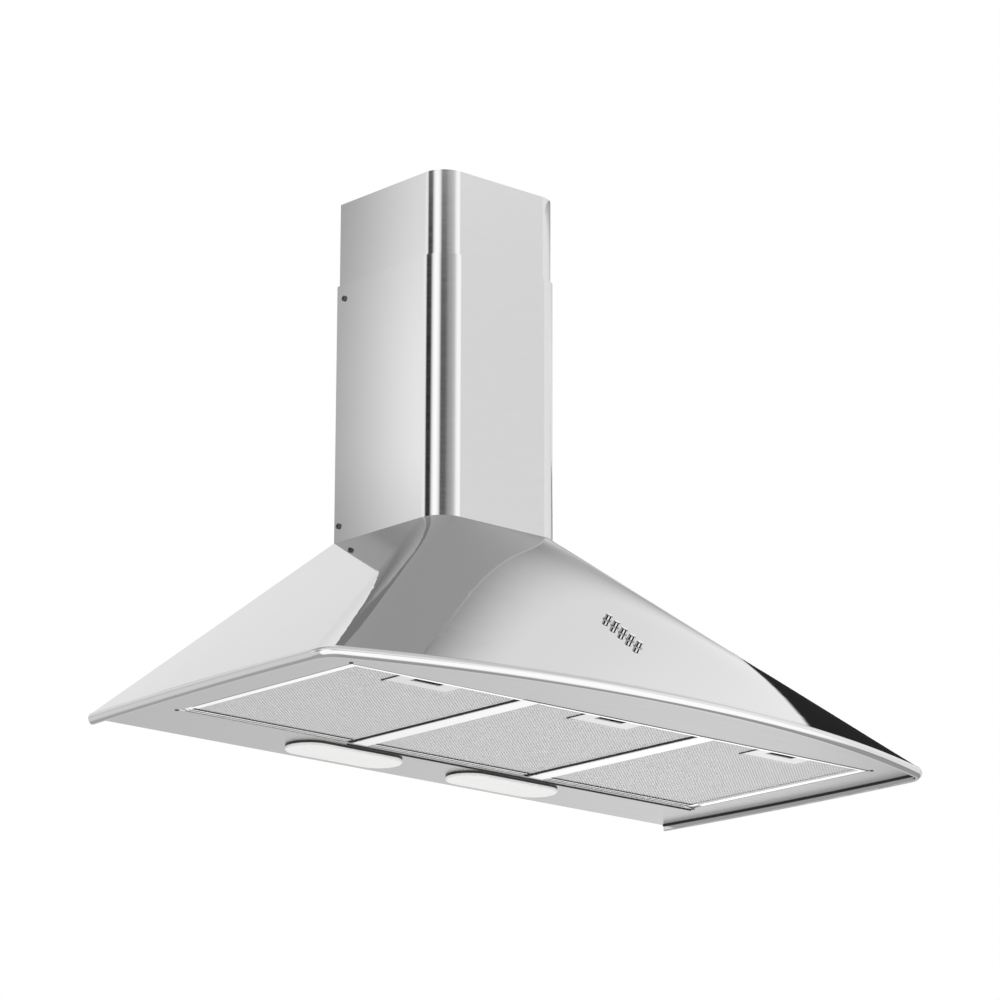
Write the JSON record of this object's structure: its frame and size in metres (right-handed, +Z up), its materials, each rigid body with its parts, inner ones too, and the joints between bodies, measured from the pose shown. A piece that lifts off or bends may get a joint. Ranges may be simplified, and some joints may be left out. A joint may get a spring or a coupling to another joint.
{
  "type": "chimney range hood",
  "caption": "Wall-mounted chimney range hood: bowed canopy with rolled rim, grease filters, lamps and push buttons under a telescoping chimney cover, with blower and duct collar inside.",
  "frame": {"origin": "centre of the four wall holes, on the wall plane, 130 mm above the underside panel", "axes": "+X to the right as seen from the cook, +Y towards the wall, +Z up"},
  "size_m": [0.9, 0.5001, 0.6796],
  "materials": {
    "polished_steel": "polished stainless steel with a fine vertical grain",
    "rim_steel": "bright polished stainless steel",
    "panel_steel": "satin stainless steel",
    "galvanised_sheet": "plain galvanised sheet",
    "blower_plastic": "matt black",
    "flap_plastic": "matt grey",
    "motor_shell": "satin grey",
    "machine_steel": "bright steel",
    "filter_aluminium": "bright folded aluminium",
    "mesh_aluminium": "layered expanded mesh",
    "latch_plate_metal": "satin",
    "latch_slider_metal": "dark satin",
    "lamp_bezel_black": "gloss black",
    "lamp_lens_white": "frosted white",
    "bulb_glass": "frosted glass",
    "socket_ceramic": "glazed white",
    "button_chrome": "mirror",
    "black_plastic": "matt black",
    "screw_steel": "bright"
  },
  "bodies": {
    "hood": {"canopy_shell": "polished_steel", "lower_chimney_cover": "polished_steel", "rim_trim": "rim_steel", "underside_panel": "panel_steel", "crossbar_1": "panel_steel", "crossbar_2": "panel_steel", "back_plate": "galvanised_sheet", "blower_deck": "galvanised_sheet", "motor_bracket": "galvanised_sheet", "chimney_guides": "galvanised_sheet", "lamp_housing_1": "galvanised_sheet", "lamp_housing_2": "galvanised_sheet", "blower_housing": "blower_plastic", "outlet_collar": "blower_plastic", "junction_box": "blower_plastic", "motor": "motor_shell", "flap_pin": "machine_steel", "lamp_bezel_1": "lamp_bezel_black", "lamp_bezel_2": "lamp_bezel_black", "lamp_lens_1": "lamp_lens_white", "lamp_lens_2": "lamp_lens_white", "lamp_bulb_1": "bulb_glass", "lamp_bulb_2": "bulb_glass", "lamp_socket_1": "socket_ceramic", "lamp_socket_2": "socket_ceramic", "button_bezels": "black_plastic", "switch_housing": "black_plastic", "cable_gland": "black_plastic", "cover_screws": "screw_steel", "blower_screws": "screw_steel"},
    "upper_chimney": {"upper_chimney_cover": "polished_steel", "upper_wall_bracket": "galvanised_sheet", "bracket_screws": "screw_steel"},
    "impeller": {"impeller": "flap_plastic", "motor_shaft": "machine_steel"},
    "flap_front": {"flap_front": "flap_plastic"},
    "flap_rear": {"flap_rear": "flap_plastic"},
    "filter_1": {"filter_frame_1": "filter_aluminium", "filter_mesh_1": "mesh_aluminium", "latch_plate_1": "latch_plate_metal"},
    "latch_1": {"latch_slider_1": "latch_slider_metal", "latch_spring_1": "machine_steel"},
    "filter_2": {"filter_frame_2": "filter_aluminium", "filter_mesh_2": "mesh_aluminium", "latch_plate_2": "latch_plate_metal"},
    "latch_2": {"latch_slider_2": "latch_slider_metal", "latch_spring_2": "machine_steel"},
    "filter_3": {"filter_frame_3": "filter_aluminium", "filter_mesh_3": "mesh_aluminium", "latch_plate_3": "latch_plate_metal"},
    "latch_3": {"latch_slider_3": "latch_slider_metal", "latch_spring_3": "machine_steel"},
    "button_1": {"button_1": "button_chrome"},
    "button_2": {"button_2": "button_chrome"},
    "button_3": {"button_3": "button_chrome"},
    "button_4": {"button_4": "button_chrome"},
    "button_5": {"button_5": "button_chrome"}
  },
  "joints": [
    {"name": "upper_cover_slide", "type": "slide", "parent": "hood", "child": "upper_chimney", "axis": [0, 0, 1], "range_m": [-0.1, 0.15]},
    {"name": "impeller_spin", "type": "hinge", "parent": "hood", "child": "impeller", "pos_m": [0, -0.148, 0.005], "axis": [1, 0, 0], "continuous": true},
    {"name": "flap_front_hinge", "type": "hinge", "parent": "hood", "child": "flap_front", "pos_m": [0, -0.0925, 0.1434], "axis": [-1, 0, 0], "range_deg": [0, 75]},
    {"name": "flap_rear_hinge", "type": "hinge", "parent": "hood", "child": "flap_rear", "pos_m": [0, -0.0925, 0.1434], "axis": [1, 0, 0], "range_deg": [0, 75]},
    {"name": "filter_1_hinge", "type": "hinge", "parent": "hood", "child": "filter_1", "pos_m": [-0.26457, -0.0955, -0.1277], "axis": [1, 0, 0], "range_deg": [0, 30]},
    {"name": "filter_2_hinge", "type": "hinge", "parent": "hood", "child": "filter_2", "pos_m": [0, -0.0955, -0.1277], "axis": [1, 0, 0], "range_deg": [0, 30]},
    {"name": "filter_3_hinge", "type": "hinge", "parent": "hood", "child": "filter_3", "pos_m": [0.26457, -0.0955, -0.1277], "axis": [1, 0, 0], "range_deg": [0, 30]},
    {"name": "latch_1_slide", "type": "slide", "parent": "filter_1", "child": "latch_1", "axis": [0, 1, 0], "range_m": [0, 0.004], "stiffness_N_per_m": 500, "springref_m": -0.004},
    {"name": "latch_2_slide", "type": "slide", "parent": "filter_2", "child": "latch_2", "axis": [0, 1, 0], "range_m": [0, 0.004], "stiffness_N_per_m": 500, "springref_m": -0.004},
    {"name": "latch_3_slide", "type": "slide", "parent": "filter_3", "child": "latch_3", "axis": [0, 1, 0], "range_m": [0, 0.004], "stiffness_N_per_m": 500, "springref_m": -0.004},
    {"name": "button_1_press", "type": "slide", "parent": "hood", "child": "button_1", "axis": [0, 0.6317, -0.7752], "range_m": [0, 0.003], "stiffness_N_per_m": 400, "springref_m": -0.002},
    {"name": "button_2_press", "type": "slide", "parent": "hood", "child": "button_2", "axis": [0, 0.6317, -0.7752], "range_m": [0, 0.003], "stiffness_N_per_m": 400, "springref_m": -0.002},
    {"name": "button_3_press", "type": "slide", "parent": "hood", "child": "button_3", "axis": [0, 0.6317, -0.7752], "range_m": [0, 0.003], "stiffness_N_per_m": 400, "springref_m": -0.002},
    {"name": "button_4_press", "type": "slide", "parent": "hood", "child": "button_4", "axis": [0, 0.6317, -0.7752], "range_m": [0, 0.003], "stiffness_N_per_m": 400, "springref_m": -0.002},
    {"name": "button_5_press", "type": "slide", "parent": "hood", "child": "button_5", "axis": [0, 0.6317, -0.7752], "range_m": [0, 0.003], "stiffness_N_per_m": 400, "springref_m": -0.002}
  ]
}
